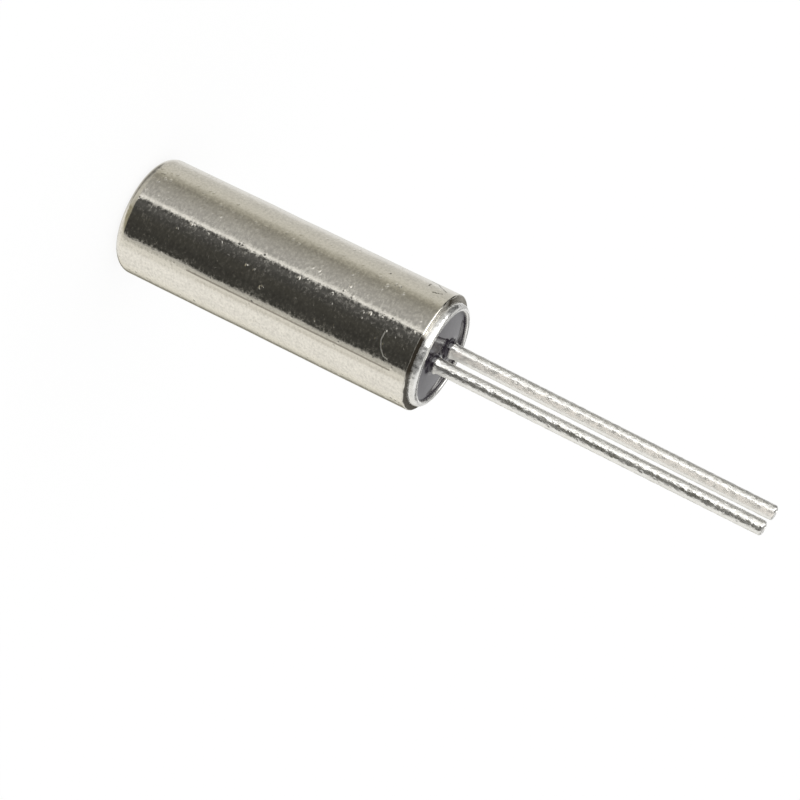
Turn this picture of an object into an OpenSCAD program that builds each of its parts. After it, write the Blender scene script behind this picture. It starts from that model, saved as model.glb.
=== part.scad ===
// Cylindrical quartz crystal for clock circuits: a drawn metal can, closed by a
// glass-sealed ring that carries two wire leads, with a quartz tuning fork inside.
// Millimetres. The part stands on the closed end of its can: z = 0 is that end's
// outer face, +Z runs along the can towards the leads, and the leads lie along X.

/* [Can] */
// Outer diameter of the can
can_d = 3.0; // [2.7:0.05:3.6]
// Length of the can from its closed end to its mouth
can_len = 8.17; // [7.6:0.01:9.5]
// Thickness of the drawn side wall
can_wall = 0.16; // [0.1:0.01:0.2]
// Thickness of the closed end
can_end_t = 0.17; // [0.1:0.01:0.3]
// Outside radius of the corner round the closed end
can_corner_r = 0.3; // [0.24:0.01:0.5]
// Radius that breaks the outer edge of the mouth
can_lip_r = 0.05; // [0.02:0.01:0.08]

/* [Base ring] */
// Length of the ring along the axis
ring_len = 1.3; // [1.0:0.05:1.8]
// Radial thickness of the ring
ring_wall = 0.17; // [0.15:0.01:0.2]
// How far the ring stands out of the mouth
ring_stand = 0.21; // [0.15:0.01:0.4]
// Radius on the outer edge of the ring's face
ring_edge_r = 0.09; // [0.03:0.01:0.11]
// Radius on the inner edge of the ring's face
ring_bore_edge_r = 0.05; // [0.02:0.01:0.07]
// Size of the chamfer that guides the ring into the can
ring_lead_in = 0.06; // [0.03:0.01:0.1]

/* [Glass seal] */
// Depth of the glass below the ring's outer face
glass_recess = 0.11; // [0.07:0.01:0.2]
// Depth of the glass inside the ring's hidden end
glass_recess_in = 0.1; // [0.02:0.01:0.2]
// How far the glass climbs each lead, and spreads round it
lead_wetting = 0.18; // [0.08:0.01:0.2]
// How far the glass climbs the wall of the ring
ring_wetting = 0.04; // [0.02:0.01:0.05]
// Angle at which the wetted glass meets the metal, in degrees
wetting_angle = 18; // [10:1:30]

/* [Leads] */
// Diameter of each lead
lead_d = 0.37; // [0.3:0.01:0.42]
// Distance between the centres of the leads
lead_pitch = 0.82; // [0.78:0.02:1.2]
// Length of the left lead beyond the ring's face
left_lead_out = 8.68; // [3:0.02:14]
// Length of the right lead beyond the ring's face
right_lead_out = 8.64; // [3:0.02:14]
// Radius on the cut tip of each lead
lead_tip_r = 0.06; // [0.01:0.01:0.12]
// Length of each lead inside the can, measured from the hidden end of the ring
lead_in = 1.2; // [0.9:0.05:1.6]
// How deep the flat on the inner end is pressed into the wire
lead_flat_cut = 0.15; // [0.1:0.01:0.2]

/* [Quartz fork] */
// Frequency that the tines ring at, in hertz
fork_hz = 32768; // [30000:1:36000]
// Length of each tine
tine_len = 3.6; // [3.2:0.05:3.9]
// Width of the slot between the tines
slot_w = 0.3; // [0.2:0.01:0.4]
// Length of the base that joins the tines
fork_base_len = 2.1; // [1.6:0.05:2.3]
// Thickness of the quartz
fork_t = 0.3; // [0.2:0.01:0.4]
// Quartz left outside the leads, at each side of the base
base_margin = 0.1; // [0.05:0.01:0.15]
// Clear space between the base and the hidden end of the ring
fork_gap = 0.3; // [0.2:0.05:0.5]

/* [Electrodes and solder] */
// Thickness of the metal film, made thick enough to be a solid
film_t = 0.01; // [0.006:0.002:0.02]
// Bare quartz between a film and the edge of its tine
film_margin = 0.06; // [0.04:0.01:0.08]
// Length of the tuning band round the tip of each tine
tip_band_len = 0.5; // [0.2:0.05:0.8]
// Width of the films that link the strips across the base
link_w = 0.15; // [0.08:0.01:0.2]
// Thickness of the solder between a lead's flat and the fork
bond_t = 0.05; // [0.02:0.01:0.08]
// How far each pad, and the solder on it, reaches beyond the lead at each side
pad_margin = 0.07; // [0.03:0.01:0.1]
// Length of each solder joint
solder_len = 0.7; // [0.4:0.05:0.8]

/* [Hidden] */
$fn = 96;

// Sides of the part: the left lead is at -X and the right lead at +X.
left = -1;
right = 1;

// Spare length of a cutting tool past the surface that it cuts
cut_past = 0.5;

// The can's bore holds the ring, and the ring's bore holds the glass.
can_r = can_d / 2;
can_bore_r = can_r - can_wall;
can_inner_corner_r = can_corner_r - can_wall;
ring_bore_r = can_bore_r - ring_wall;

// Heights along the axis
ring_face_z = can_len + ring_stand;
ring_hidden_z = ring_face_z - ring_len;
glass_face_z = ring_face_z - glass_recess;
glass_hidden_z = ring_hidden_z + glass_recess_in;
lead_inner_z = ring_hidden_z - lead_in;
fork_top_z = ring_hidden_z - fork_gap;
root_z = fork_top_z - fork_base_len;

// Leads and the flats that carry the fork
lead_r = lead_d / 2;
flat_y = lead_r - lead_flat_cut;
lap_len = lead_in - fork_gap;
flat_len = lap_len + fork_gap / 2;
ring_climb = min(ring_wetting, glass_recess - ring_bore_edge_r / 2);

// A tine is a cantilever: f = 0.1615 * sound_speed * width / length^2, where the
// speed of sound along a bar of quartz is in millimetres a second.
sound_speed = 5449000;
cantilever_factor = 0.1615;
tine_w = fork_hz * pow(tine_len, 2) / (cantilever_factor * sound_speed);
tines_w = 2 * tine_w + slot_w;
tine_x = (slot_w + tine_w) / 2;
fork_base_w = max(tines_w, lead_pitch + lead_d + 2 * base_margin);
fork_back_y = flat_y + bond_t + film_t;

// Films: a strip down the middle of each face, and a film on each side of a tine
strip_w = tine_w - 2 * film_margin;
strip_end_z = -tine_len + tip_band_len + film_margin;
slot_root_r = slot_w / 2;
pad_z = fork_base_len - lap_len;
pad_w = lead_d + 2 * pad_margin;
cross_z = film_margin;

// What lies outside the arc at a corner of a flat outline. The corner is at (x, z),
// and out_x and out_z are 1 or -1, the way that it points.
module corner_cut(x, z, r, out_x, out_z) {
  reach = r + cut_past;
  centre = [x - out_x * r, z - out_z * r];
  difference() {
    translate(centre + reach * [min(out_x, 0), min(out_z, 0)])
      square(reach);
    translate(centre)
      circle(r);
  }
}

// Section of the glass that wets a wall at x = 0 above flat glass at z = 0. Its hollow
// arc runs from (climb, 0) to (0, climb) and meets both at the wetting angle.
module wetted_section(climb) {
  arc_r = climb / (cos(wetting_angle) - sin(wetting_angle));
  arc_centre = arc_r * cos(wetting_angle);
  difference() {
    translate([0, -glass_recess])
      square([climb, climb + glass_recess]);
    translate([arc_centre, arc_centre])
      circle(arc_r);
  }
}

// Drawn cup: one wall all round, with its corner rounded inside and outside
module can() {
  color("silver")
    rotate_extrude()
      difference() {
        square([can_r, can_len]);
        corner_cut(can_r, 0, can_corner_r, 1, -1);
        corner_cut(can_r, can_len, can_lip_r, 1, 1);
        difference() {
          translate([0, can_end_t])
            square([can_bore_r, can_len]);
          corner_cut(can_bore_r, can_end_t, can_inner_corner_r, 1, -1);
        }
      }
}

// Ring pressed into the mouth of the can, standing a little out of it
module base_ring() {
  color("gainsboro")
    rotate_extrude()
      difference() {
        translate([ring_bore_r, ring_hidden_z])
          square([ring_wall, ring_len]);
        corner_cut(can_bore_r, ring_face_z, ring_edge_r, 1, 1);
        corner_cut(ring_bore_r, ring_face_z, ring_bore_edge_r, -1, 1);
        polygon([
          [can_bore_r - ring_lead_in, ring_hidden_z],
          [can_bore_r, ring_hidden_z + ring_lead_in],
          [can_bore_r + cut_past, ring_hidden_z],
        ]);
      }
}

// Glass fused into the ring and round both leads, drawn up where it wets the metal
module glass_seal() {
  color("dimgray")
    difference() {
      union() {
        translate([0, 0, glass_hidden_z])
          cylinder(h = glass_face_z - glass_hidden_z, r = ring_bore_r);
        translate([0, 0, glass_face_z])
          rotate_extrude()
            translate([ring_bore_r, 0])
              mirror([1, 0])
                wetted_section(ring_climb);
        for (side = [left, right])
          translate([side * lead_pitch / 2, 0, glass_face_z])
            rotate_extrude()
              translate([lead_r, 0])
                wetted_section(lead_wetting);
      }
      for (side = [left, right])
        translate([side * lead_pitch / 2, 0, glass_hidden_z - cut_past])
          cylinder(h = glass_face_z - glass_hidden_z + 2 * cut_past, r = lead_r);
    }
}

// One straight wire through the glass. Its inner end has a flat that faces the fork.
module lead(side, out) {
  color("lightgray")
    translate([side * lead_pitch / 2, 0, 0])
      difference() {
        rotate_extrude()
          difference() {
            translate([0, lead_inner_z])
              square([lead_r, ring_face_z + out - lead_inner_z]);
            corner_cut(lead_r, ring_face_z + out, lead_tip_r, 1, 1);
          }
        translate([-lead_d, flat_y, lead_inner_z - cut_past])
          cube([2 * lead_d, lead_d, flat_len + cut_past]);
      }
}

// Outline of the fork, with x = 0 on its middle line and y = 0 at the root of the slot
module fork_outline() {
  difference() {
    union() {
      translate([-tines_w / 2, -tine_len])
        square([tines_w, tine_len + fork_base_len]);
      translate([-fork_base_w / 2, 0])
        square([fork_base_w, fork_base_len]);
    }
    translate([-slot_root_r, -tine_len - cut_past])
      square([slot_w, tine_len + cut_past - slot_root_r]);
    translate([0, -slot_root_r])
      circle(slot_root_r);
  }
}

// Puts a shape drawn on the fork in its place: x across the tines, y through the
// quartz from the face that meets the leads, and z from the root towards the leads
module on_fork() {
  translate([0, fork_back_y, root_z])
    children();
}

// Block with opposite corners at low and high
module block(low, high) {
  translate([for (i = [0:2]) min(low[i], high[i])])
    cube([for (i = [0:2]) abs(high[i] - low[i])]);
}

// Quartz blank: two tines on one base
module quartz_fork() {
  color("aliceblue")
    on_fork()
      translate([0, fork_t, 0])
        rotate([90, 0, 0])
          linear_extrude(fork_t)
            fork_outline();
}

// Film on one face of the quartz, from x and z limits. Face -1 meets the leads.
module face_film(face, x, z) {
  y = face < 0 ? -film_t : fork_t;
  block([x[0], y, z[0]], [x[1], y + film_t, z[1]]);
}

// Film on the inner or outer side of the tine at side, wrapped over the quartz's edges
module side_film(side, from_x, way) {
  block(
    [side * from_x, -film_t, -tine_len + tip_band_len / 2],
    [side * (from_x + way * film_t), fork_t + film_t, -slot_w]
  );
}

// Films of one terminal. They cover the middle of the tine on its own side and the
// edges of the other tine, so that a voltage bends the two tines apart.
module electrode(side, cross_face) {
  own_x = side * tine_x;
  other = -side;
  link_z = [pad_z, pad_z + link_w];
  base_edge_x = side * (fork_base_w / 2 + film_t);
  edge_x = other * (slot_w / 2 + film_margin / 2);
  color("gold")
    on_fork() {
      // Strip down the middle of each face of its own tine
      for (face = [-1, 1])
        face_film(face, [own_x - strip_w / 2, own_x + strip_w / 2], [strip_end_z, link_z[1]]);
      // Pad under the lead
      face_film(
        -1,
        [side * (lead_pitch - pad_w) / 2, side * (lead_pitch + pad_w) / 2],
        [pad_z, fork_base_len]
      );
      // Link round the edge of the base, from one face to the other
      for (face = [-1, 1])
        face_film(face, [own_x, base_edge_x], link_z);
      block(
        [side * fork_base_w / 2, -film_t, link_z[0]],
        [base_edge_x, fork_t + film_t, link_z[1]]
      );
      // Link across the root of the slot to the inner edge of the other tine
      face_film(cross_face, [own_x, edge_x], [cross_z, cross_z + link_w]);
      face_film(
        cross_face,
        [other * (slot_w / 2 - film_t), edge_x],
        [-2 * slot_w, cross_z + link_w]
      );
      side_film(other, slot_w / 2, -1);
      side_film(other, tines_w / 2, 1);
      // Tuning band round the tip of the other tine
      difference() {
        block(
          [other * (slot_w / 2 - film_t), -film_t, -tine_len],
          [other * (tines_w / 2 + film_t), fork_t + film_t, -tine_len + tip_band_len]
        );
        block(
          [other * slot_w / 2, 0, -tine_len - cut_past],
          [other * tines_w / 2, fork_t, 0]
        );
      }
    }
}

// Solder between the lead's flat and its pad, spread out where it wets the pad
module solder(side) {
  flat_w = 2 * sqrt(pow(lead_r, 2) - pow(flat_y, 2));
  color("darkgray")
    translate([side * lead_pitch / 2, flat_y, lead_inner_z + (lap_len - solder_len) / 2])
      linear_extrude(solder_len)
        polygon([
          [-flat_w / 2, 0],
          [flat_w / 2, 0],
          [pad_w / 2, bond_t],
          [-pad_w / 2, bond_t],
        ]);
}

can();
base_ring();
glass_seal();
lead(left, left_lead_out);  // lead_left
lead(right, right_lead_out);  // lead_right
quartz_fork();
electrode(left, 1);  // electrode_left
electrode(right, -1);  // electrode_right
solder(left);  // solder_left
solder(right);  // solder_right
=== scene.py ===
# %% [markdown]
# # A cylindrical quartz crystal
#
# This lesson gives a small electronic part its looks. The part is a clock crystal: a
# drawn metal can about as long as a grain of rice, closed by a ring and a bead of dark
# glass that two tinned wires pass through. The solids come from CAD and stay where they
# are. Seen from close by, their meshes show facets, so each visible solid gets a fine
# surface worked out with numpy, which stands for the CAD node.

import math

import bpy
import numpy as np
from mathutils import Matrix, Vector


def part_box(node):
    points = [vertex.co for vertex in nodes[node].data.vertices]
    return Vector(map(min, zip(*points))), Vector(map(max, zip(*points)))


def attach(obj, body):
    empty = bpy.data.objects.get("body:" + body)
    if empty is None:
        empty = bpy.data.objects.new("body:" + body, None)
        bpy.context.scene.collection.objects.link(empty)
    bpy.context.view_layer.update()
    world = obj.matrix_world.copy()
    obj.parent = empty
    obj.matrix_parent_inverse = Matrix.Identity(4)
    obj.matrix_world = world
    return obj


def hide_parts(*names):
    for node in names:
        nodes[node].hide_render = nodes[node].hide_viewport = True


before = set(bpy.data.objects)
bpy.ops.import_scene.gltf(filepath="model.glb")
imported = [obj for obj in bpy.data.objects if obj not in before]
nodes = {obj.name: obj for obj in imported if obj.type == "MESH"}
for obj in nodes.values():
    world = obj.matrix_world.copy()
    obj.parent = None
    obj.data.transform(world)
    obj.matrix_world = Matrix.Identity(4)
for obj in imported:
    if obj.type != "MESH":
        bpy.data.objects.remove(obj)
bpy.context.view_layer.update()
print("CAD nodes:", ", ".join(sorted(nodes)))

# %% [markdown]
# ## Sizes
#
# Blender works in metres, but a part of this size is easier to think of in millimetres.
# So every shape below is worked out in millimetres and turned into metres when it goes
# into a mesh. The main sizes are read from the CAD nodes' boxes, so the surfaces follow
# the solids if those change. Only what a box can't tell is written out.

# %% Sizes in millimetres
MM = 0.001


def box_mm(node):
    """Lowest and highest corner of a CAD node, in millimetres."""
    low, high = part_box(node)
    return np.array(low) / MM, np.array(high) / MM


can_r, can_len = box_mm("can")[1][[0, 2]]
ring_r, ring_face_z = box_mm("base_ring")[1][[0, 2]]
ring_hidden_z = box_mm("base_ring")[0][2]
glass_r, glass_crest_z = box_mm("glass_seal")[1][[0, 2]]
glass_hidden_z = box_mm("glass_seal")[0][2]
can_end_t = 0.17  # thickness of the closed end
can_corner_r = 0.3  # outer corner of the closed end
can_lip_r = 0.05  # broken edge of the mouth
ring_edge_in = 0.12  # how far the ring's outer edge is rounded inwards,
ring_edge_down = 0.17  # and how far down its side
ring_bore_edge_r = 0.05  # rounding of the face's edge at the glass
ring_chamfer = 0.06  # on the end that is pressed into the can
glass_recess = 0.11  # from the ring's face down to the glass
glass_face_z = ring_face_z - glass_recess
print(f"can: {2 * can_r:.2f} mm across, {can_len:.2f} mm long")
print(f"ring: face at {ring_face_z:.2f} mm, glass face at {glass_face_z:.2f} mm")

# %% [markdown]
# ## From a grid of points to a mesh
#
# All five visible pieces are made the same way. A profile is a row of points, and it is
# carried round an axis, so that the points form a grid: rows along the profile, columns
# round the axis. A function then moves the points a little, as a real press or a dip in
# molten tin does. Lathing in Blender's own editor would give the same profile, but whole
# arrays let one formula move every point, and it stays readable.

# %% Profiles and grids
def line(start, end, count):
    """Points from start towards end in even steps, leaving out the end itself."""
    share = np.linspace(0, 1, count, endpoint=False)[:, None]
    return (1 - share) * np.array(start) + share * np.array(end)


def arc(centre, radius, start, end, count):
    """Points on a circle, from the start angle towards the end angle in degrees."""
    angle = np.radians(np.linspace(start, end, count, endpoint=False))
    return np.array(centre) + radius * np.column_stack([np.cos(angle), np.sin(angle)])


def quarter(corner, reach_in, reach_down, count):
    """A quarter of an ellipse that rounds an outer top corner, from its side to its top:
    (r - a + a cos(angle), z - b + b sin(angle))."""
    angle = np.linspace(0, np.pi / 2, count, endpoint=False)
    size = np.array([reach_in, reach_down])
    return np.array(corner) - size + size * np.column_stack([np.cos(angle), np.sin(angle)])


def round_angles(columns):
    """Even angles round the axis, in radians, without the last that equals the first."""
    return np.linspace(0, 2 * np.pi, columns, endpoint=False)


def revolve(profile, columns):
    """Carries a profile of (radius, height) round the Z axis.
    x = radius cos(angle), y = radius sin(angle), z = height."""
    angle = round_angles(columns)
    radius, height = profile[:, :1], profile[:, 1:]
    x, y = radius * np.cos(angle), radius * np.sin(angle)
    return np.stack([x, y, height + 0 * angle], axis=-1)


# %% Grid to mesh
def add_piece(name, grid, ring_shaped=False):
    """Makes a closed mesh from a grid in millimetres whose columns wrap round.
    A ring-shaped grid also joins its last row to its first. Any other grid is closed at
    each end by a fan of triangles to the middle of its end row."""
    rows, columns = grid.shape[:2]
    points = grid.reshape(-1, 3)
    index = np.arange(rows * columns).reshape(rows, columns)
    fans = []
    if ring_shaped:
        index = np.vstack([index, index[:1]])
    else:
        points = np.vstack([points, grid[0].mean(axis=0), grid[-1].mean(axis=0)])
        start, end = len(points) - 2, len(points) - 1
        here, after = index[[0, -1]], np.roll(index[[0, -1]], -1, axis=1)
        first = [np.full(columns, start), after[0], here[0]]
        last = [here[1], after[1], np.full(columns, end)]
        fans = np.vstack([np.column_stack(first), np.column_stack(last)]).tolist()
    turn = np.roll(index, -1, axis=1)
    quads = np.stack([index[:-1], turn[:-1], turn[1:], index[1:]], axis=-1)
    mesh = bpy.data.meshes.new(name)
    mesh.from_pydata((points * MM).tolist(), [], quads.reshape(-1, 4).tolist() + fans)
    mesh.shade_smooth()
    piece = bpy.data.objects.new(name, mesh)
    bpy.context.scene.collection.objects.link(piece)
    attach(piece, "root")
    print(f"{name}: {len(mesh.vertices)} points, {len(mesh.polygons)} faces")
    return piece


# %% [markdown]
# ## Uneven metal
#
# A drawn can is never a perfect cylinder. The press leaves shallow waves in the wall that
# the eye can't see as shape, but that bend the edges of every reflection. A sum of
# cosine waves does this well: each wave has a whole number of crests round the axis,
# so the surface closes on itself, and longer waves are higher than short ones.

# %% Waves
def waves(angle, height, crests, lengths, seed, count=24):
    """Sum of cosines of (crests x angle + 2 pi height / length + phase), each divided
    by its crests, and the sum divided so that a usual crest of it is about 1."""
    rng = np.random.default_rng(seed)
    n = rng.integers(crests[0], crests[1] + 1, count)
    length = rng.uniform(lengths[0], lengths[1], count) * rng.choice([-1, 1], count)
    phase = rng.uniform(0, 2 * np.pi, count)
    total = sum(
        np.cos(k * angle + 2 * np.pi * height / w + p) / k
        for k, w, p in zip(n, length, phase)
    )
    return total / np.sqrt(np.sum(1.0 / n**2))


def ease(value, low, high):
    """0 below low, 1 above high, and a smooth rise between them: t t (3 - 2 t)."""
    t = np.clip((value - low) / (high - low), 0, 1)
    return t * t * (3 - 2 * t)


# %% [markdown]
# ## The camera
#
# The part stands on its closed end with its leads up, as CAD has it, and the camera is
# rolled so that the can seems to lie. A long lens from a few lengths away keeps the can's
# sides almost parallel. The camera looks at a point near the middle of the part, from an
# azimuth and an elevation, and then turns about its own line of sight. This azimuth
# counts anticlockwise from -Y.

# %% Camera
PICTURE_PX = 800
FOCAL_PX = 3251.7
SENSOR_MM = 36
NEAREST, FURTHEST = 0.001, 10  # metres, between which the camera sees anything
camera_aim = Vector((-0.936, -0.997, 7.940)) * MM
camera_distance = 76.477 * MM
camera_azimuth = math.radians(234.0)
camera_elevation = math.radians(17.03)
camera_roll = math.radians(116.27)

back = Vector(
    (
        math.sin(camera_azimuth) * math.cos(camera_elevation),
        -math.cos(camera_azimuth) * math.cos(camera_elevation),
        math.sin(camera_elevation),
    )
)
level = back.to_track_quat("Z", "Y")
camera = bpy.data.objects.new("camera", bpy.data.cameras.new("camera"))
camera.data.sensor_width = SENSOR_MM
camera.data.lens = FOCAL_PX / PICTURE_PX * SENSOR_MM
camera.data.clip_start, camera.data.clip_end = NEAREST, FURTHEST
turned = level.to_matrix() @ Matrix.Rotation(camera_roll, 3, "Z")
camera.matrix_world = Matrix.LocRotScale(camera_aim + back * camera_distance, turned, None)
bpy.context.scene.collection.objects.link(camera)
bpy.context.scene.camera = camera
bpy.context.scene.view_settings.view_transform = "Standard"
print(f"lens {camera.data.lens:.1f} mm, {camera_distance / MM:.1f} mm away")

# %% [markdown]
# ## Nodes in few words
#
# Materials and the world are made of nodes. These helpers keep them readable: one adds a
# node and fills its inputs, with a number or with another node's output. The others do
# the same for the five kinds of node that are used most: Math, Vector Math, a smooth
# step, a mix of two colours and a Color Ramp.

# %% Node helpers
def fill(tree, socket, value):
    """Links a socket if the value is another node's output, and sets it otherwise."""
    if isinstance(value, bpy.types.NodeSocket):
        tree.links.new(value, socket)
    else:
        socket.default_value = value


def add_node(tree, kind, settings=None, **inputs):
    """Adds a node. Settings are its own choices, and inputs are its sockets by name,
    with _ for a space."""
    made = tree.nodes.new(kind)
    for key, value in (settings or {}).items():
        setattr(made, key, value)
    for key, value in inputs.items():
        fill(tree, made.inputs[key.replace("_", " ")], value)
    return made


def maths(tree, operation, *values):
    """Adds a Math node and returns its output."""
    made = add_node(tree, "ShaderNodeMath", {"operation": operation})
    for socket, value in zip(made.inputs, values):
        fill(tree, socket, value)
    return made.outputs[0]


NUMBER = 1  # place of a Vector Math node's output for a result that is a plain number


def vector(tree, operation, first, second, result=0):
    """Adds a Vector Math node and returns its output."""
    made = add_node(tree, "ShaderNodeVectorMath", {"operation": operation})
    fill(tree, made.inputs[0], first)
    if second is not None:
        fill(tree, made.inputs["Scale" if operation == "SCALE" else 1], second)
    return made.outputs[result]


def step(tree, value, low, high, at_low=0.0, at_high=1.0):
    """Goes smoothly from at_low to at_high while the value goes from low to high."""
    return add_node(
        tree, "ShaderNodeMapRange", {"interpolation_type": "SMOOTHSTEP"},
        Value=value, From_Min=low, From_Max=high, To_Min=at_low, To_Max=at_high,
    ).outputs[0]


def blend_colour(tree, share, first, second):
    """Mixes two colours: the first where share is 0, and the second where it is 1."""
    made = add_node(tree, "ShaderNodeMix", {"data_type": "RGBA"})
    # A Mix node keeps its sockets for colours at these places, after those for numbers
    for place, value in ((0, share), (6, first), (7, second)):
        fill(tree, made.inputs[place], value)
    return made.outputs[2]


def ramp(tree, value, stops):
    """Adds a Color Ramp with stops of (place from 0 to 1, colour)."""
    made = add_node(tree, "ShaderNodeValToRGB", Fac=value)
    elements = made.color_ramp.elements
    for k, (place, colour) in enumerate(stops):
        stop = elements[k] if k < 2 else elements.new(place)
        stop.position = place
        stop.color = (*colour, 1)
    return made.outputs[0]


# %% [markdown]
# ## The studio
#
# Polished metal has hardly any look of its own: it shows the room. A plain white room
# would make the can a flat grey, so the world is a pale tent with things set round it: a
# grey card, a strip of light, a black flag and a white card. The sphere round the part
# is cut into four belts, one above the other, and each belt is one colour ramp over the
# full circle. An upright wall seen from above shows what is a little below the horizon,
# so the low belt sets all the can's bands. The high belt is what the glass and the ring
# show. The floor and top belts show in rounded edges and in the wires, whose finish
# spreads a reflection up and down. A plain card closes the tent overhead. Diffuse light
# and the background stay plain.

# %% What stands round the part
# (azimuth in degrees anticlockwise from +X, brightness, share of blue that is missing).
# A Color Ramp holds 32 stops at most.
LOW_CARDS = [
    (0, 0.89, -0.01),  # pale tent
    (9, 0.745, 0.03),
    (22, 0.685, 0.04),
    (47, 0.73, 0.08),
    (54, 0.575, 0.12),  # grey card
    (62, 0.43, 0.155),
    (70, 0.325, 0.135),
    (79, 0.385, 0.09),
    (102, 0.50, 0.02),
    (114.5, 0.51, 0.0),
    (120.5, 1.22, 0.0),  # gap of light beside the flag
    (122.9, 1.3, 0.0),
    (124.0, 0.03, 0.0),  # black flag
    (127.5, 0.09, 0.0),
    (133, 0.13, 0.0),
    (143, 0.075, 0.02),
    (158, 0.067, 0.11),
    (182, 0.05, 0.08),
    (192, 0.065, 0.08),
    (200.0, 0.04, 0.08),
    (202.7, 0.68, 0.04),  # folded edge of the white card
    (210.5, 0.57, 0.07),
    (213, 0.95, 0.05),  # white card
    (223, 0.85, 0.045),
    (230, 1.05, 0.01),
    (262, 0.98, 0.015),
    (279, 0.96, 0.07),
    (290, 0.76, 0.11),
    (300, 0.305, 0.16),  # its shaded edge
    (307, 0.235, 0.235),
    (326, 0.70, 0.115),
    (346, 0.89, 0.0),
]
HIGH_CARDS = [
    (0, 0.9, 0.0),  # pale tent
    (10, 0.04, 0.0),  # dark doorway
    (50, 0.04, 0.0),
    (66, 0.6, 0.04),  # pale tent
    (84, 0.75, 0.0),
    (98, 1.0, 0.0),
    (108, 1.4, 0.0),  # tall strip of light
    (126, 1.45, 0.0),
    (137, 1.3, 0.0),
    (147, 0.8, 0.0),
    (152, 0.06, 0.0),  # tall black flag
    (200, 0.05, 0.0),
    (212, 0.6, 0.03),  # white card
    (236, 0.85, 0.04),
    (296, 0.85, 0.03),
    (310, 0.60, 0.0),  # pale tent
    (321, 0.80, 0.0),
    (333, 1.05, 0.0),
    (342, 0.3, 0.0),  # fold of the tent
    (352, 0.5, 0.0),
]
TOP_CARDS = [
    (0, 0.8, 0.0),  # pale tent
    (14, 0.6, 0.0),
    (24, 0.08, 0.0),  # top of the doorway
    (43, 0.08, 0.02),
    (55, 1.9, 0.0),  # lamp behind the tent
    (66, 2.8, 0.0),
    (98, 2.8, 0.0),
    (108, 4.4, 0.0),  # top of the strip of light
    (128, 4.3, 0.0),
    (135, 0.06, 0.0),  # top of the black flag
    (198, 0.05, 0.0),
    (212, 0.8, 0.0),  # top of the white card
    (236, 1.0, 0.0),
    (272, 0.9, 0.0),
    (288, 0.10, 0.0),  # black card behind the part
    (344, 0.10, 0.0),
    (352, 0.75, 0.0),
]
FLOOR_CARDS = [
    (0, 0.6, 0.07),
    (12, 0.24, 0.07),  # in shade before the doorway
    (46, 0.24, 0.07),
    (62, 0.5, 0.07),
    (105, 0.7, 0.07),  # lit by the strip of light
    (136, 0.6, 0.10),
    (150, 0.38, 0.27),  # in warm shade before the flag
    (192, 0.38, 0.27),
    (215, 0.88, 0.07),  # lit by the white card
    (255, 1.0, 0.02),
    (295, 1.0, 0.0),
    (335, 0.65, 0.03),
]
BELTS = {"floor": FLOOR_CARDS, "low": LOW_CARDS, "high": HIGH_CARDS, "top": TOP_CARDS}
ABOVE = (0.5, 0.5, 0.48, 1)
# Elevations in degrees over which each belt gives way to the next, and the last to ABOVE
BELT_EDGES = [(-42, -33), (-12, -3), (21, 28), (62, 80)]
GREEN_SHARE = 0.2  # of the share of blue that a warm card takes away


def card_stops(cards):
    """Turns cards into stops of a ramp over the full circle. A warm card takes away blue,
    and a smaller share of green."""
    return [
        (azimuth / 360, (b, b * (1 - GREEN_SHARE * warm), b * (1 - warm)))
        for azimuth, b, warm in cards
    ]


for belt, cards in BELTS.items():
    print(f"{belt} belt: {len(cards)} stops")

# %% World
world = bpy.data.worlds.new("studio")
bpy.context.scene.world = world
world.use_nodes = True
sky = world.node_tree
sky.nodes.clear()
direction = add_node(sky, "ShaderNodeTexCoord").outputs["Generated"]
xyz = add_node(sky, "ShaderNodeSeparateXYZ", Vector=direction)
turn = maths(sky, "ARCTAN2", xyz.outputs["Y"], xyz.outputs["X"])
turn = maths(sky, "FRACT", maths(sky, "DIVIDE", turn, 2 * math.pi))
elevation = maths(sky, "DEGREES", maths(sky, "ARCSINE", xyz.outputs["Z"]))
belts = [ramp(sky, turn, card_stops(cards)) for cards in BELTS.values()]
studio = belts[0]
for edges, next_up in zip(BELT_EDGES, (*belts[1:], ABOVE)):
    studio = blend_colour(sky, step(sky, elevation, *edges), studio, next_up)
path = add_node(sky, "ShaderNodeLightPath").outputs
seen_in_metal = maths(sky, "MAXIMUM", path["Is Glossy Ray"], path["Is Transmission Ray"])
plain = add_node(sky, "ShaderNodeBackground", Color=(1, 1, 1, 1), Strength=1.0)
tent = add_node(sky, "ShaderNodeBackground", Color=studio, Strength=1.0)
mixed = add_node(sky, "ShaderNodeMixShader", Fac=seen_in_metal)
sky.links.new(plain.outputs[0], mixed.inputs[1])
sky.links.new(tent.outputs[0], mixed.inputs[2])
add_node(sky, "ShaderNodeOutputWorld", Surface=mixed.outputs[0])
print(f"world {world.name}: {len(sky.nodes)} nodes")

# %% [markdown]
# ## The floor
#
# The part stands on a plain pale floor. For the camera the floor is white, with a little
# of its real shading mixed in, so that it keeps a soft shadow. For a reflection it is
# clear, so that metal and glass show the part of the studio below the horizon, because
# an upright wall seen from above reflects downwards.

# %% Floor
FLOOR_HALF = 2.0  # metres from its middle to a side
FLOOR_PAINT = 0.85  # grey of its real shading
FLOOR_GLOW = 1.03  # brightness of the white that the camera sees
GLOW_SHARE = 0.85  # of what the camera sees; the rest is the floor's real shading
floor_mesh = bpy.data.meshes.new("floor")
corners = [(-1, -1, 0), (1, -1, 0), (1, 1, 0), (-1, 1, 0)]
floor_mesh.from_pydata([tuple(FLOOR_HALF * c for c in p) for p in corners], [], [(0, 1, 2, 3)])
floor = bpy.data.objects.new("floor", floor_mesh)
bpy.context.scene.collection.objects.link(floor)

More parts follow.
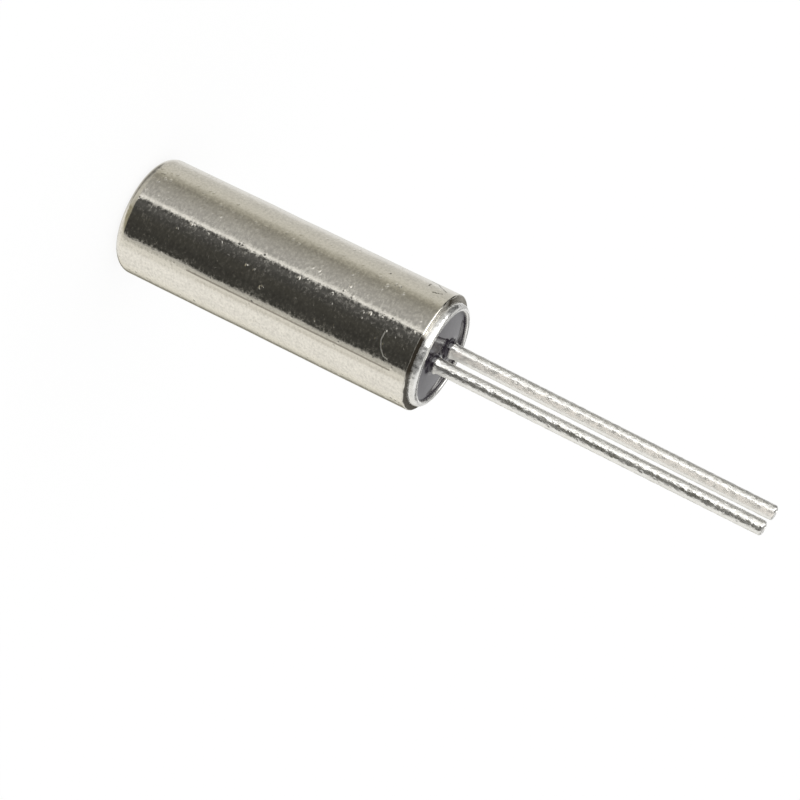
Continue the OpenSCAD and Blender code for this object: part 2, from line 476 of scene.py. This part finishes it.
floor_paint = bpy.data.materials.new("white_floor")
floor_paint.use_nodes = True
tree = floor_paint.node_tree
tree.nodes.clear()
path = add_node(tree, "ShaderNodeLightPath").outputs
paper = add_node(tree, "ShaderNodeBsdfDiffuse", Color=(*(FLOOR_PAINT,) * 3, 1))
glow = add_node(tree, "ShaderNodeEmission", Color=(1, 1, 1, 1), Strength=FLOOR_GLOW)
clear = add_node(tree, "ShaderNodeBsdfTransparent")
for_camera = maths(tree, "MULTIPLY", path["Is Camera Ray"], GLOW_SHARE)
for_metal = maths(tree, "MAXIMUM", path["Is Glossy Ray"], path["Is Transmission Ray"])
lit = add_node(tree, "ShaderNodeMixShader", Fac=for_camera)
tree.links.new(paper.outputs[0], lit.inputs[1])
tree.links.new(glow.outputs[0], lit.inputs[2])
seen = add_node(tree, "ShaderNodeMixShader", Fac=for_metal)
tree.links.new(lit.outputs[0], seen.inputs[1])
tree.links.new(clear.outputs[0], seen.inputs[2])
add_node(tree, "ShaderNodeOutputMaterial", Surface=seen.outputs[0])
floor_mesh.materials.append(floor_paint)
print(f"floor: {2 * FLOOR_HALF:.0f} m square, finish {floor_paint.name}")

# %% [markdown]
# ## The can
#
# The can is drawn from one disc of nickel silver, so it has no seam: one wall, a rounded
# corner at its closed end and a broken edge at its mouth. One profile goes from the
# middle of the closed end out, up the wall, over the lip and back down inside. The waves
# fade out at the corner, where the press holds the metal hard.

# %% Can
CAN_COLUMNS = 320
CAN_WAVE = 0.0025
can_fan_r, can_inner_fan_r = 0.08, 0.04  # the profile starts and ends this far from the axis
firm_height = 1.2  # from the closed end up to here the waves grow to their full height
axis_guard = 0.01  # keeps the division off the axis

can_bore_r = ring_r
inner_corner_r = can_corner_r - (can_r - can_bore_r)
can_profile = np.vstack(
    [
        line((can_fan_r, 0), (can_r - can_corner_r, 0), 12),
        arc((can_r - can_corner_r, can_corner_r), can_corner_r, -90, 0, 20),
        line((can_r, can_corner_r), (can_r, can_len - can_lip_r), 180),
        arc((can_r - can_lip_r, can_len - can_lip_r), can_lip_r, 0, 90, 10),
        line((can_r - can_lip_r, can_len), (can_bore_r, can_len), 6),
        line((can_bore_r, can_len), (can_bore_r, can_end_t + inner_corner_r), 16),
        arc(
            (can_bore_r - inner_corner_r, can_end_t + inner_corner_r),
            inner_corner_r, 0, -90, 5,
        ),
        line((can_bore_r - inner_corner_r, can_end_t), (can_inner_fan_r, can_end_t), 6),
    ]
)
can_grid = revolve(can_profile, CAN_COLUMNS)
angle = round_angles(CAN_COLUMNS)
height, radius = can_profile[:, 1:], can_profile[:, :1]
loose = ease(height, 0, firm_height) * ease(radius, can_bore_r, can_r)
wave = CAN_WAVE * loose * waves(angle, height, crests=(2, 9), lengths=(1.5, 5.0), seed=3)
can_grid[..., :2] *= 1 + (wave / np.maximum(radius, axis_guard))[..., None]
can_shell = add_piece("can_shell", can_grid)
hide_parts("can")

# %% [markdown]
# ## The base ring
#
# The ring is pressed into the can's mouth and stands a little out of it. It is turned
# from soft iron-nickel and plated with tin, so its edges are round and its side is
# dented by the press tool. Its profile closes on itself, like a rubber band. The dents
# are waves with many crests, which fade out below the can's mouth and at the edge of the
# bore. The face is uneven too, by half as much, and only downwards.

# %% Ring
RING_COLUMNS = 400
RING_WAVE = 0.0022
FACE_SHARE = 0.5  # the face is uneven by this share of the side's dents
dent_rise = 0.06  # the dents grow to their full depth this far above the can's mouth
flush = 0.02  # and are whole from this far inside the ring's outer radius

ring_profile = np.vstack(
    [
        line((ring_r, ring_hidden_z + ring_chamfer), (ring_r, can_len), 12),
        line((ring_r, can_len), (ring_r, ring_face_z - ring_edge_down), 4),
        quarter((ring_r, ring_face_z), ring_edge_in, ring_edge_down, 40),
        arc(
            (glass_r + ring_bore_edge_r, ring_face_z - ring_bore_edge_r),
            ring_bore_edge_r, 90, 180, 10,
        ),
        line((glass_r, ring_face_z - ring_bore_edge_r), (glass_r, ring_hidden_z), 20),
        line((glass_r, ring_hidden_z), (ring_r - ring_chamfer, ring_hidden_z), 4),
        line(
            (ring_r - ring_chamfer, ring_hidden_z),
            (ring_r, ring_hidden_z + ring_chamfer), 3,
        ),
    ]
)
ring_grid = revolve(ring_profile, RING_COLUMNS)
angle = round_angles(RING_COLUMNS)
height, radius = ring_profile[:, 1:], ring_profile[:, :1]
out_of_can = ease(height, can_len, can_len + dent_rise)
outside = ease(radius, glass_r + ring_bore_edge_r, ring_r - flush)
dents = waves(angle, height, crests=(20, 80), lengths=(0.15, 0.6), seed=8)
wave = RING_WAVE * out_of_can * outside * dents
ring_grid[..., :2] *= 1 + (wave / radius)[..., None]
sunk = waves(angle, radius, crests=(5, 30), lengths=(0.3, 1.0), seed=9) - 1
ring_grid[..., 2] += FACE_SHARE * RING_WAVE * out_of_can * sunk
ring_shell = add_piece("ring_shell", ring_grid, ring_shaped=True)
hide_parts("base_ring")

# %% [markdown]
# ## The glass seal
#
# The glass was melted into the ring, so its face is a liquid's face that froze: a shallow
# dome, drawn up where it wets the ring, and drawn up more round each lead. Height above
# the dome falls off with the distance from the metal as an exponential. The leads simply
# pass through the bead, which hides the points that lie inside them.

# %% Glass
GLASS_COLUMNS = 432
FACE_ROWS = 200
ring_climb, ring_climb_reach = 0.04, 0.05
lead_climb, lead_climb_reach = 0.14, 0.04
glass_dome = 0.04
back_fan_r, front_fan_r = 0.05, 0.01  # how near the axis the back and the front begin


def lead_axis(node):
    """Middle of a straight lead in x, and its radius, from its CAD box."""
    low, high = box_mm(node)
    return (low[0] + high[0]) / 2, (high[0] - low[0]) / 2


left_x, lead_r = lead_axis("lead_left")
right_x, lead_r = lead_axis("lead_right")


def glass_height(x, y):
    """Shallow dome h (1 - (r / R)^2) + climb exp(-distance / reach) at the ring's wall
    and at each lead."""
    to_ring = np.maximum(glass_r - np.hypot(x, y), 0)
    to_leads = [np.maximum(np.hypot(x - lx, y) - lead_r, 0) for lx in (left_x, right_x)]
    rise = ring_climb * np.exp(-to_ring / ring_climb_reach)
    dome = glass_dome * (1 - (x**2 + y**2) / glass_r**2)
    return glass_face_z + dome + rise + lead_climb * sum(
        np.exp(-d / lead_climb_reach) for d in to_leads
    )


glass_rim = (glass_r, glass_face_z + ring_climb)
glass_back = line((back_fan_r, glass_hidden_z), (glass_r, glass_hidden_z), 12)
glass_side = line((glass_r, glass_hidden_z), glass_rim, 6)
glass_front = line(glass_rim, (front_fan_r, glass_face_z), FACE_ROWS)
glass_grid = revolve(np.vstack([glass_back, glass_side, glass_front]), GLASS_COLUMNS)
front = glass_grid[-FACE_ROWS:]
front[..., 2] = np.minimum(glass_height(front[..., 0], front[..., 1]), glass_crest_z)
glass_bead = add_piece("glass_bead", glass_grid)
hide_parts("glass_seal")

# %% [markdown]
# ## The leads
#
# Each lead is iron-nickel wire that was dipped in molten tin. The tin froze with shallow
# ripples along the wire, gathered into a small collar where the wire meets the glass,
# and was cut off square, which rounds the edge of the tip. Inside the can the end of
# the wire is pressed flat to carry the quartz. The surface is a circle carried along a
# line, with its radius changed by the ripples. Handling has bent both wires a little at
# the glass, so each one leans by a tenth of a millimetre at its tip.

# %% Leads
LEAD_COLUMNS = 88
LEAD_ROWS = 720
TIP_ROWS = 9
lead_tip_r = 0.06
lead_flat_y = 0.035
lead_flat_len, flat_fade = 1.05, 0.05  # length of the flat, and of its way back to round
dip_fade = 0.3  # the ripples grow to their full height this far above the glass
RIPPLE = 0.0022
COLLAR = 0.035
COLLAR_HEIGHT = 0.16  # of the collar's crest above the glass
COLLAR_REACH = 0.05
COLLAR_UNEVEN = 0.3  # of its own height, round the wire
LEANS = {"left": (0, -0.105), "right": (-0.05, -0.128)}  # (x, y) at the tip


def lead_grid(node, x, lean, seed):
    """Circle of radius r(angle, z) round an axis at x:
    r = wire + ripples + collar exp(-distance from the collar's crest / reach), with the
    collar uneven round the wire and r drawn in at each end along a quarter circle.
    Inside the can, y is cut off at the flat, and the cut then moves out to the can's
    radius, where it cuts nothing. Above the glass the axis moves off in a straight line,
    by lean (x, y) at the tip."""
    low, high = box_mm(node)
    z_low, z_high = low[2], high[2]
    bend = np.linspace(0, np.pi / 2, TIP_ROWS)
    rounded, ends = np.sin(bend), lead_tip_r * (1 - np.cos(bend))
    middle = np.linspace(z_low + lead_tip_r, z_high - lead_tip_r, LEAD_ROWS)
    z = np.concatenate([z_low + ends[:-1], middle, z_high - ends[-2::-1]])[:, None]
    drawn_in = np.concatenate([1 - rounded[:-1], 0 * middle, 1 - rounded[-2::-1]])[:, None]
    angle = round_angles(LEAD_COLUMNS)
    dipped = ease(z, glass_face_z, glass_face_z + dip_fade)
    ripples = waves(angle, z, crests=(5, 16), lengths=(0.08, 0.5), seed=seed, count=60)
    ripple = RIPPLE * dipped * ripples
    off_crest = np.abs(z - glass_face_z - COLLAR_HEIGHT)
    lumps = waves(angle, z, crests=(2, 6), lengths=(0.3, 0.9), seed=seed)
    collar = COLLAR * np.exp(-off_crest / COLLAR_REACH) * (1 + COLLAR_UNEVEN * lumps)
    r = lead_r + ripple + collar - lead_tip_r * drawn_in
    px, py = x + r * np.cos(angle), r * np.sin(angle)
    pressed = 1 - ease(z, z_low + lead_flat_len, z_low + lead_flat_len + flat_fade)
    py = np.minimum(py, lead_flat_y * pressed + can_r * (1 - pressed))
    out = np.clip((z - glass_crest_z) / (z_high - glass_crest_z), 0, 1)
    return np.stack([px + lean[0] * out, py + lean[1] * out, z + 0 * angle], axis=-1)


wires = []
for side, x, seed in (("left", left_x, 21), ("right", right_x, 34)):
    wire = add_piece(f"{side}_wire", lead_grid(f"lead_{side}", x, LEANS[side], seed))
    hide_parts(f"lead_{side}")
    wires.append(wire)

# %% [markdown]
# ## Shared effects
#
# The finishes share the same small faults, so each fault is a node group with its own
# inputs: the grain of drawn and plated metal, and a hairline from one point to another.
# A group only puts out values that change over the surface. The coordinates are the
# object's own, in metres, so a Mapping node first turns them into millimetres.

# %% Group helper
FLOAT, VECTOR = "NodeSocketFloat", "NodeSocketVector"


def new_group(name, inputs, outputs):
    """A shader node group with inputs of (name, kind, value to start with) and outputs
    of (name, kind). Also returns what it is given, and where its results go."""
    group = bpy.data.node_groups.new(name, "ShaderNodeTree")
    for socket_name, kind, value in inputs:
        socket = group.interface.new_socket(socket_name, in_out="INPUT", socket_type=kind)
        if value is not None:
            socket.default_value = value
    for socket_name, kind in outputs:
        group.interface.new_socket(socket_name, in_out="OUTPUT", socket_type=kind)
    given = add_node(group, "NodeGroupInput").outputs
    return group, given, add_node(group, "NodeGroupOutput").inputs


# %% [markdown]
# ### Orange peel
#
# Pressed and plated metal has the skin of an orange, a few hundredths of a millimetre
# from one bump to the next: a fine unevenness everywhere, and here and there a pimple,
# which is the cap of a bead that the polishing missed. Fine noise makes the first. For
# the second, a cell texture gives each cell a dome round its middle, and a random number
# per cell keeps only some. A slow noise flattens the pimples in patches.

# %% Orange peel
CELL_SHARE = 0.6  # cells are coarser than the grain, by this factor in their scale
DOME_FALL = 0.05, 0.5  # between these distances from its middle a dome falls to nothing
PATCH_SPAN = 0.4, 0.65  # of the slow noise, from flattened to full pimples
FLATTENED = 0.25  # height of a pimple where it is flattened most

peel, given, out = new_group(
    "orange_peel",
    [
        ("Millimetres", VECTOR, None),
        ("Grain", FLOAT, 12.0),
        ("Pimples", FLOAT, 1.0),
        ("Spared", FLOAT, 0.7),
    ],
    [("Height", FLOAT), ("Grains", FLOAT), ("Patches", FLOAT)],
)
fine = add_node(
    peel, "ShaderNodeTexNoise", Vector=given["Millimetres"], Scale=given["Grain"],
    Detail=3.0, Roughness=0.55,
).outputs[0]
cells = add_node(
    peel, "ShaderNodeTexVoronoi",
    Vector=given["Millimetres"], Scale=maths(peel, "MULTIPLY", given["Grain"], CELL_SHARE),
)
dome = step(peel, cells.outputs["Distance"], *DOME_FALL, 1, 0)
number = add_node(peel, "ShaderNodeSeparateColor", Color=cells.outputs["Color"]).outputs[0]
kept = maths(peel, "GREATER_THAN", number, given["Spared"])
slow = add_node(
    peel, "ShaderNodeTexNoise", Vector=given["Millimetres"], Scale=1.3, Detail=4.0
).outputs[0]
pimple = maths(peel, "MULTIPLY", maths(peel, "MULTIPLY", dome, kept), given["Pimples"])
pimple = maths(peel, "MULTIPLY", pimple, step(peel, slow, *PATCH_SPAN, FLATTENED, 1.0))
peel.links.new(maths(peel, "ADD", fine, pimple), out["Height"])
peel.links.new(fine, out["Grains"])
peel.links.new(slow, out["Patches"])
print(f"group {peel.name}: {len(peel.nodes)} nodes")

# %% [markdown]
# ### Hairlines
#
# A hairline is straight, or a chain of straight pieces. The mask is 1 where the distance
# to a piece is well under half the line's width, and 0 from half the width on. That
# distance is found as on paper: go along the piece by the share at which the
# perpendicular from the point falls, held between 0 and 1, and measure from there.

# %% Hairline
CORE = 0.4  # share of the half width over which the mask stays 1

hair, given, out = new_group(
    "hairline",
    [
        ("Place", VECTOR, None),
        ("From", VECTOR, None),
        ("To", VECTOR, None),
        ("Width", FLOAT, 0.03),
    ],
    [("Mask", FLOAT)],
)
from_start = vector(hair, "SUBTRACT", given["Place"], given["From"])
whole = vector(hair, "SUBTRACT", given["To"], given["From"])
share = maths(
    hair, "DIVIDE",
    vector(hair, "DOT_PRODUCT", from_start, whole, NUMBER),
    vector(hair, "DOT_PRODUCT", whole, whole, NUMBER),
)
share = maths(hair, "MINIMUM", maths(hair, "MAXIMUM", share, 0), 1)
off = vector(hair, "SUBTRACT", from_start, vector(hair, "SCALE", whole, share))
distance = vector(hair, "LENGTH", off, None, NUMBER)
half = maths(hair, "DIVIDE", given["Width"], 2)
hair.links.new(step(hair, distance, maths(hair, "MULTIPLY", half, CORE), half, 1, 0), out["Mask"])
print(f"group {hair.name}: {len(hair.nodes)} nodes")

# %% [markdown]
# ## Finishes
#
# Each metal is one Principled shader. Base colour sets the tint, and roughness sets how
# sharp the studio's edges are in it. The nickel on the can is warm and quite sharp. The
# tin on the ring is whiter and duller. The wires were drawn before they were dipped, so
# their tin is anisotropic: it spreads every reflection along the wire. There are two tins
# for them, alike to begin with, because one wire will get a painted reflection on one side.

# %% Metal finish
GRAIN_SHARE, PATCH_SHARE = 0.8, 0.2  # of the grains and the patches in the tint's mottle
# Noise gathers round 0.5, so only the middle of its range is spread from least to most
MOTTLE_SPAN = 0.25, 0.75
HAZE_SPAN = 0.42, 0.72
NOISE_SPAN = 0.35, 0.65
SPREAD, ALONG_WIRE = 1.0, 0.25  # anisotropy, and the quarter turn that sets its direction


def in_millimetres(tree, stretch=1.0):
    """The object's own coordinates in millimetres, drawn out along Z if stretch < 1."""
    place = add_node(tree, "ShaderNodeTexCoord").outputs["Object"]
    return add_node(
        tree, "ShaderNodeMapping", Vector=place, Scale=(1 / MM, 1 / MM, stretch / MM)
    ).outputs[0]


def new_material(name):
    """An empty material and its node tree."""
    made = bpy.data.materials.new(name)
    made.use_nodes = True
    made.node_tree.nodes.clear()
    return made, made.node_tree


def metal(name, tint, mottle, roughness, haze, grain, pimples, spared, depth, stretch=1.0):
    """A plated metal. Its tint is mottled by a share of itself, its roughness goes from
    the first to the second value with slow patches and rises by the haze in the grains,
    and a bump of orange peel has its depth in millimetres. Returns the material and its
    shader node."""
    made, tree = new_material(name)
    skin = add_node(
        tree, "ShaderNodeGroup", {"node_tree": peel}, Millimetres=in_millimetres(tree, stretch),
        Grain=grain, Pimples=pimples, Spared=spared,
    ).outputs
    dark = [c * (1 - mottle) for c in tint]
    light = [min(1.0, c * (1 + mottle)) for c in tint]
    patches = maths(tree, "MULTIPLY", skin["Patches"], PATCH_SHARE)
    uneven = maths(tree, "MULTIPLY_ADD", skin["Grains"], GRAIN_SHARE, patches)
    colour = ramp(tree, uneven, zip(MOTTLE_SPAN, (dark, light)))
    rough = step(tree, skin["Patches"], *NOISE_SPAN, *roughness)
    rough = maths(tree, "ADD", rough, step(tree, skin["Grains"], *HAZE_SPAN, 0, haze))
    bump = add_node(
        tree, "ShaderNodeBump", Height=skin["Height"], Distance=depth * MM, Strength=1.0
    ).outputs[0]
    shader = add_node(
        tree, "ShaderNodeBsdfPrincipled", Metallic=1.0, Roughness=rough, Base_Color=colour,
        Normal=bump,
    )
    add_node(tree, "ShaderNodeOutputMaterial", Surface=shader.outputs[0])
    return made, shader


def lay_over(shader, mask, colour, roughness, metallic=None):
    """Covers a finish with another where the mask is 1, in colour, in roughness and, if
    it is given, in Metallic."""
    tree = shader.id_data
    under = shader.inputs["Base Color"].links[0].from_socket
    fill(tree, shader.inputs["Base Color"], blend_colour(tree, mask, under, (*colour, 1)))
    under = shader.inputs["Roughness"].links[0].from_socket
    more = maths(tree, "MULTIPLY", mask, maths(tree, "SUBTRACT", roughness, under))
    fill(tree, shader.inputs["Roughness"], maths(tree, "ADD", under, more))
    if metallic is not None:
        fill(tree, shader.inputs["Metallic"], step(tree, mask, 0, 1, 1, metallic))


# %% Nickel and tin
can_plating, can_shader = metal(
    "can_plating", tint=(0.712, 0.68, 0.608), mottle=0.22, roughness=(0.07, 0.1), haze=0.17,
    grain=12, pimples=4.2, spared=0.78, depth=0.0020, stretch=1.3,
)
can_shader.inputs["Specular IOR Level"].default_value = 0.0  # no gloss on the brown mouth
ring_plating, ring_shader = metal(
    "ring_plating", tint=(0.85, 0.84, 0.81), mottle=0.1, roughness=(0.2, 0.26), haze=0.08,
    grain=5, pimples=0.4, spared=0.5, depth=0.0015,
)
TIN = {
    "tint": (0.97, 0.945, 0.895), "mottle": 0.08, "roughness": (0.33, 0.38), "haze": 0.05,
    "grain": 11, "pimples": 0.8, "spared": 0.6, "depth": 0.010, "stretch": 0.8,
}
bright_tin, bright_shader = metal("bright_tin", **TIN)
tin_with_painted_reflection, painted_reflection_shader = metal("tin_with_painted_reflection", **TIN)
for shader in (bright_shader, painted_reflection_shader):
    shader.inputs["Anisotropic"].default_value = SPREAD
    shader.inputs["Anisotropic Rotation"].default_value = ALONG_WIRE
metals = (can_plating, ring_plating, bright_tin, tin_with_painted_reflection)
for piece, finish in zip((can_shell, ring_shell, *wires), metals):
    piece.data.materials.append(finish)
    print(f"{piece.name}: {finish.name}")

# %% [markdown]
# ## The can's marks
#
# Three kinds of marks are laid over the nickel. The cut face of the mouth was not plated
# afterwards, so it has turned brown. It is darker on some sides than on others, which is
# stain and painted shade together, and on one side painted shade spills over the lip and
# darkens its edge. The wall has a few scratches near the mouth, dark and broken where
# dirt fills them and pale where bare metal shows. And two lines run along the wall where
# the die dragged, one of them faint. To draw on the wall as on paper, the place is
# unrolled: across is the distance round the wall, and up is the height.

# %% Brown mouth
BROWN = (0.02, 0.015, 0.009)
BROWN_ROUGHNESS = 0.6
# (degrees round the mouth, strength of the stain and painted shade,
# how far the painted shade spills over the lip in mm)
STAIN_AND_SHADE = [
    (0, 0.85, 0), (55, 0.56, 0), (75, 0.78, 0), (87, 0.98, 0), (98, 0.5, 0), (112, 0.1, 0),
    (133, 0.1, 0), (138, 0.98, 0.03), (172, 0.98, 0.03), (178, 0.88, 0), (300, 0.88, 0),
]
RAGGED = 0.01  # mm that the edge of the stain strays in and out
FACE_EDGE = 0.5, 0.12  # from full to none, in radii of the lip inside the wall
RIM_EDGE = 0.042, 0.028  # from none to full, in mm below the mouth
SPILL_DOWN = 0.4  # mm down the wall for each mm that it spills over the lip

tree = can_shader.id_data
spot = in_millimetres(tree)
parts = add_node(tree, "ShaderNodeSeparateXYZ", Vector=spot).outputs
squares = [maths(tree, "POWER", parts[axis], 2) for axis in ("X", "Y")]
from_axis = maths(tree, "SQRT", maths(tree, "ADD", *squares))
ragged = add_node(tree, "ShaderNodeTexNoise", Vector=spot, Scale=4.0, Detail=3.0).outputs[0]
edge = maths(tree, "ADD", from_axis, step(tree, ragged, *NOISE_SPAN, -RAGGED, RAGGED))
turns = maths(tree, "DIVIDE", maths(tree, "ARCTAN2", parts["Y"], parts["X"]), 2 * math.pi)
turns = maths(tree, "FRACT", turns)
# The ramp sets stain and painted shade at each place round the mouth
stain_and_shade_map = ramp(tree, turns, [(a / 360, (b, spill, 0)) for a, b, spill in STAIN_AND_SHADE])
strength, spill, _ = add_node(tree, "ShaderNodeSeparateColor", Color=stain_and_shade_map).outputs
edge = maths(tree, "SUBTRACT", edge, spill)
on_face = step(tree, edge, *(can_r - can_lip_r * part for part in FACE_EDGE), 1, 0)
height_here = maths(tree, "MULTIPLY_ADD", spill, SPILL_DOWN, parts["Z"])
at_mouth = step(tree, height_here, *(can_len - below for below in RIM_EDGE))
mouth = maths(tree, "MULTIPLY", on_face, at_mouth)
mouth = maths(tree, "MULTIPLY", mouth, strength)
# Lays brown stain on the cut face, with painted shade in its strength and over the lip
lay_over(can_shader, mouth, BROWN, BROWN_ROUGHNESS, metallic=0.0)
print(f"brown mouth: {len(STAIN_AND_SHADE)} places round the lip")

# %% Scratches and drawing lines
# Chains of points (degrees round the wall, height in mm)
DIRTY_SCRATCHES = [
    [(64.0, 7.40), (64.6, 7.50), (66.4, 7.60), (71.8, 7.72), (75.1, 7.85), (77.4, 7.93)],
    [(88.1, 7.70), (86.9, 7.79), (84.4, 7.90)],
    [(80.7, 7.49), (74.5, 7.48)],
]
BARE_SCRATCHES = [[(147.8, 7.29), (155.8, 7.28), (162.5, 7.35), (168.4, 7.47), (169.3, 7.58)]]
DRAWING_LINES = [[(177.8, 2.1), (178.0, 6.5), (178.5, 7.7)]]
FAINT_LINES = [[(182.6, 2.4), (182.7, 4.5), (183.2, 5.5), (184.0, 6.5), (183.6, 8.0)]]
DIRT_SPAN, THIN_DIRT = (0.38, 0.58), 0.2  # noise from thin to full, and how thin it gets

around = maths(tree, "MULTIPLY", turns, 2 * math.pi * can_r)
unrolled = add_node(tree, "ShaderNodeCombineXYZ", X=around, Y=parts["Z"]).outputs[0]


def on_wall(degrees, height):
    """A point of the wall on the unrolled paper."""
    return (math.radians(degrees) * can_r, height, 0)


def chain_mask(chains, width):
    """The greatest of the masks of all the pieces of all the chains."""
    mask = 0.0
    for chain in chains:
        for start, end in zip(chain, chain[1:]):
            piece = add_node(
                tree, "ShaderNodeGroup", {"node_tree": hair}, Place=unrolled,
                From=on_wall(*start), To=on_wall(*end), Width=width,
            ).outputs[0]
            mask = maths(tree, "MAXIMUM", mask, piece)
    return mask


specks = add_node(tree, "ShaderNodeTexNoise", Vector=spot, Scale=22.0, Detail=2.0).outputs[0]
grime = step(tree, specks, *DIRT_SPAN, THIN_DIRT, 1.0)
# (chains, width in mm, strength, colour, roughness)
MARKS = [
    (DIRTY_SCRATCHES, 0.06, grime, (0.09, 0.08, 0.055), 0.4),
    (BARE_SCRATCHES, 0.04, 0.7, (0.66, 0.65, 0.62), 0.75),
    (DRAWING_LINES, 0.065, 0.62, (0.22, 0.19, 0.15), 0.3),
    (FAINT_LINES, 0.1, 0.16, (0.34, 0.29, 0.23), 0.3),
]
for chains, width, share, colour, roughness in MARKS:
    mask = maths(tree, "MULTIPLY", chain_mask(chains, width), share)
    lay_over(can_shader, mask, colour, roughness)
print(f"{can_plating.name}: {len(tree.nodes)} nodes with its marks")

# %% [markdown]
# ## Oxide on the tin
#
# Tin dulls soonest where the dip left it thin. Oxide scatters light as paint does, so it
# lowers Metallic. On the ring and on one wire it lies in faint streaks, which noise drawn
# out along Z gives. The other wire has one broad pale streak along one side, a painted
# reflection of the other wire made as dull tin: it is a hairline about as wide as the
# wire's radius, broken up by noise.

# %% Oxide
STREAK_ANGLE = math.radians(160)  # on the wire, anticlockwise from +X
STREAK_WIDTH = 0.21
# Pale dull tin that paints the other wire's reflection along one side
REFLECTION_PAINT, REFLECTION_PAINT_ROUGHNESS = (0.91, 0.86, 0.79), 0.5
WORM_SPAN, THIN_STREAK = (0.4, 0.58), 0.5  # noise from thin to full, and how thin it gets


def streaky(tree, stretch):
    """Noise in streaks along the wire, the longer the smaller stretch is."""
    place = in_millimetres(tree, stretch)
    return add_node(tree, "ShaderNodeTexNoise", Vector=place, Scale=9.0, Detail=3.0).outputs[0]


def oxide(shader, stretch, least, most):
    """Lets Metallic go from least to most with a streaky noise."""
    tree = shader.id_data
    metallic = step(tree, streaky(tree, stretch), *NOISE_SPAN, least, most)
    fill(tree, shader.inputs["Metallic"], metallic)


oxide(bright_shader, stretch=0.15, least=0.88, most=1.0)
oxide(ring_shader, stretch=0.8, least=0.65, most=0.9)
tree = painted_reflection_shader.id_data
side_x, side_y = lead_r * math.cos(STREAK_ANGLE), lead_r * math.sin(STREAK_ANGLE)
lean_x, lean_y = LEANS["right"]
right_tip_z = box_mm("lead_right")[1][2]
streak = add_node(
    tree, "ShaderNodeGroup", {"node_tree": hair}, Place=in_millimetres(tree),
    From=(right_x + side_x, side_y, glass_crest_z),
    To=(right_x + lean_x + side_x, lean_y + side_y, right_tip_z), Width=STREAK_WIDTH,
).outputs[0]
worms = step(tree, streaky(tree, 0.6), *WORM_SPAN, THIN_STREAK, 1.0)
streak = maths(tree, "MULTIPLY", streak, worms)
# Lays the painted reflection of the other wire: pale tin with low Metallic
lay_over(painted_reflection_shader, streak, REFLECTION_PAINT, REFLECTION_PAINT_ROUGHNESS, metallic=0.1)
print(f"{tin_with_painted_reflection.name}: streak up to {right_tip_z:.2f} mm")

# %% [markdown]
# ## Glass
#
# The seal is a dark iron-bearing glass, all but black with a hint of purple, so it needs
# no transparency: it shows as a gloss over a dark body. A cloudy noise varies its tint a
# little, and its gloss and its height very little.

# %% Seal glass
CLOUD_SPAN = 0.3, 0.7
GLASS_TINTS = (0.016, 0.012, 0.017), (0.034, 0.028, 0.038)
GLASS_ROUGHNESS = 0.03, 0.09
glass_bump = 0.0004  # mm

seal_glass, tree = new_material("seal_glass")
spot = in_millimetres(tree)
cloud = add_node(tree, "ShaderNodeTexNoise", Vector=spot, Scale=6.0, Detail=5.0).outputs[0]
colour = ramp(tree, cloud, zip(CLOUD_SPAN, GLASS_TINTS))
rough = step(tree, cloud, *CLOUD_SPAN, *GLASS_ROUGHNESS)
bump = add_node(tree, "ShaderNodeBump", Height=cloud, Distance=glass_bump * MM).outputs[0]
shader = add_node(
    tree, "ShaderNodeBsdfPrincipled", Base_Color=colour, Roughness=rough, Normal=bump, IOR=1.55
)
add_node(tree, "ShaderNodeOutputMaterial", Surface=shader.outputs[0])
glass_bead.data.materials.append(seal_glass)
print(f"{glass_bead.name}: {seal_glass.name}")

# %% [markdown]
# ## Inside the can
#
# Nothing inside shows, but the pieces are there, and each gets its real finish: clear
# quartz, a gold film on it and a blob of solder at each lead.

# %% Inner finishes
def inner_finish(name, tints, roughness, metallic=0.0, transmission=0.0):
    """A quiet finish for a hidden CAD node: two close tints in a fine noise."""
    made, tree = new_material(name)
    spot = in_millimetres(tree)
    cloud = add_node(tree, "ShaderNodeTexNoise", Vector=spot, Scale=8.0, Detail=3.0).outputs[0]
    shader = add_node(
        tree, "ShaderNodeBsdfPrincipled", Base_Color=ramp(tree, cloud, zip(CLOUD_SPAN, tints)),
        Roughness=step(tree, cloud, *CLOUD_SPAN, *roughness),
        Metallic=metallic, Transmission_Weight=transmission,
    )
    add_node(tree, "ShaderNodeOutputMaterial", Surface=shader.outputs[0])
    return made


quartz = inner_finish(
    "quartz", tints=((0.84, 0.9, 0.93), (0.9, 0.94, 0.96)), roughness=(0.03, 0.08),
    transmission=0.9,
)
gold_film = inner_finish(
    "gold_film", tints=((0.8, 0.62, 0.27), (0.86, 0.68, 0.32)), roughness=(0.2, 0.3),
    metallic=1.0,
)
solder = inner_finish(
    "solder", tints=((0.52, 0.52, 0.5), (0.64, 0.64, 0.62)), roughness=(0.35, 0.5),
    metallic=1.0,
)
INNER = {
    "quartz_fork": quartz,
    "electrode_left": gold_film,
    "electrode_right": gold_film,
    "solder_left": solder,
    "solder_right": solder,
}
for node, finish in INNER.items():
    nodes[node].data.materials.clear()
    nodes[node].data.materials.append(finish)
    print(f"{node}: {finish.name}")
